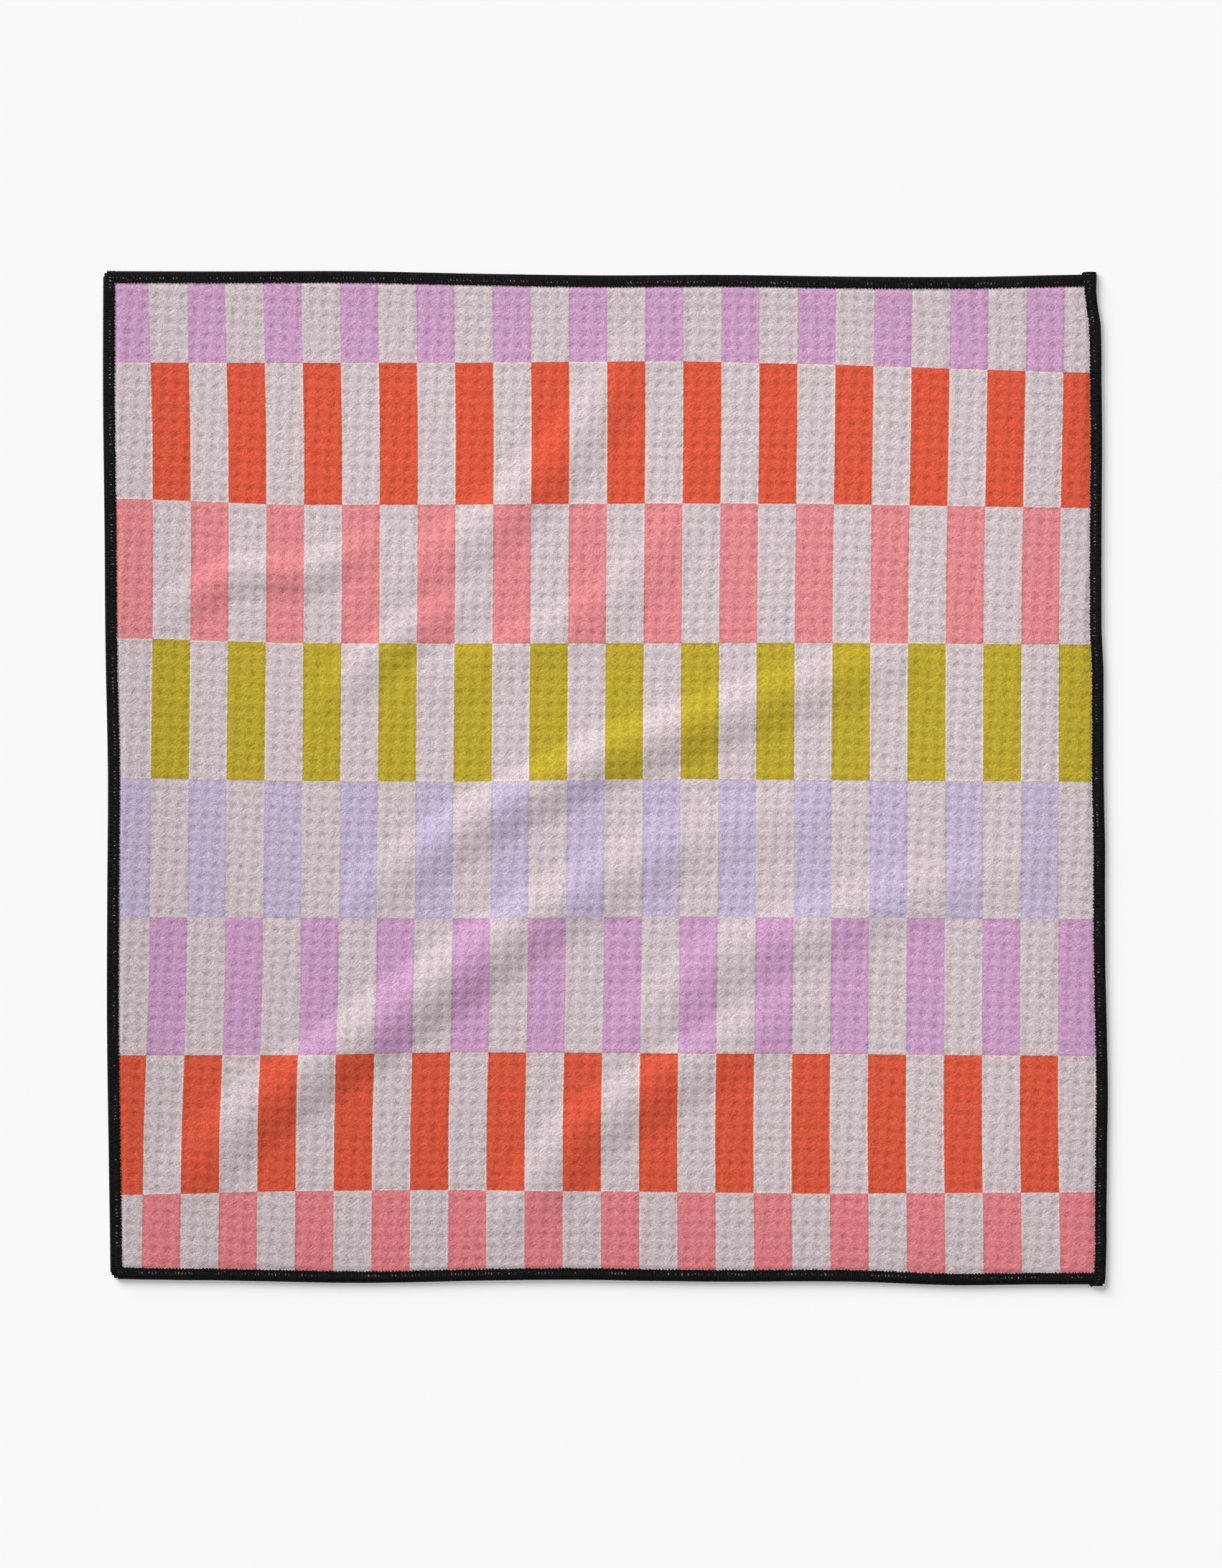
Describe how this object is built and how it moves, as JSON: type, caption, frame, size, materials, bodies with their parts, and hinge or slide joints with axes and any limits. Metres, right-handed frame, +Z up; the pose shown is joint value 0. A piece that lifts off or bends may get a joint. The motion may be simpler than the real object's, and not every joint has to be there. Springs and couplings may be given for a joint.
{
  "type": "golf towel",
  "caption": "Square waffle-weave microfibre golf towel lying flat, with a printed block pattern and a black overlock seam on every edge.",
  "frame": {"origin": "middle of the towel's underside, where it rests", "axes": "+X to the right and +Y to the top of the print, as seen from above; +Z up out of the printed face"},
  "size_m": [0.407, 0.4116, 0.0052],
  "materials": {
    "waffle_microfibre": "matt brushed waffle pile, printed in colour blocks on one face",
    "black_overlock_thread": "black textured polyester thread, soft satin"
  },
  "bodies": {
    "root": {"waffle_panel": "waffle_microfibre", "top_upper_looper_thread": "black_overlock_thread", "top_lower_looper_thread": "black_overlock_thread", "top_needle_thread": "black_overlock_thread", "right_upper_looper_thread": "black_overlock_thread", "right_lower_looper_thread": "black_overlock_thread", "right_needle_thread": "black_overlock_thread", "bottom_upper_looper_thread": "black_overlock_thread", "bottom_lower_looper_thread": "black_overlock_thread", "bottom_needle_thread": "black_overlock_thread", "left_upper_looper_thread": "black_overlock_thread", "left_lower_looper_thread": "black_overlock_thread", "left_needle_thread": "black_overlock_thread"}
  },
  "joints": []
}
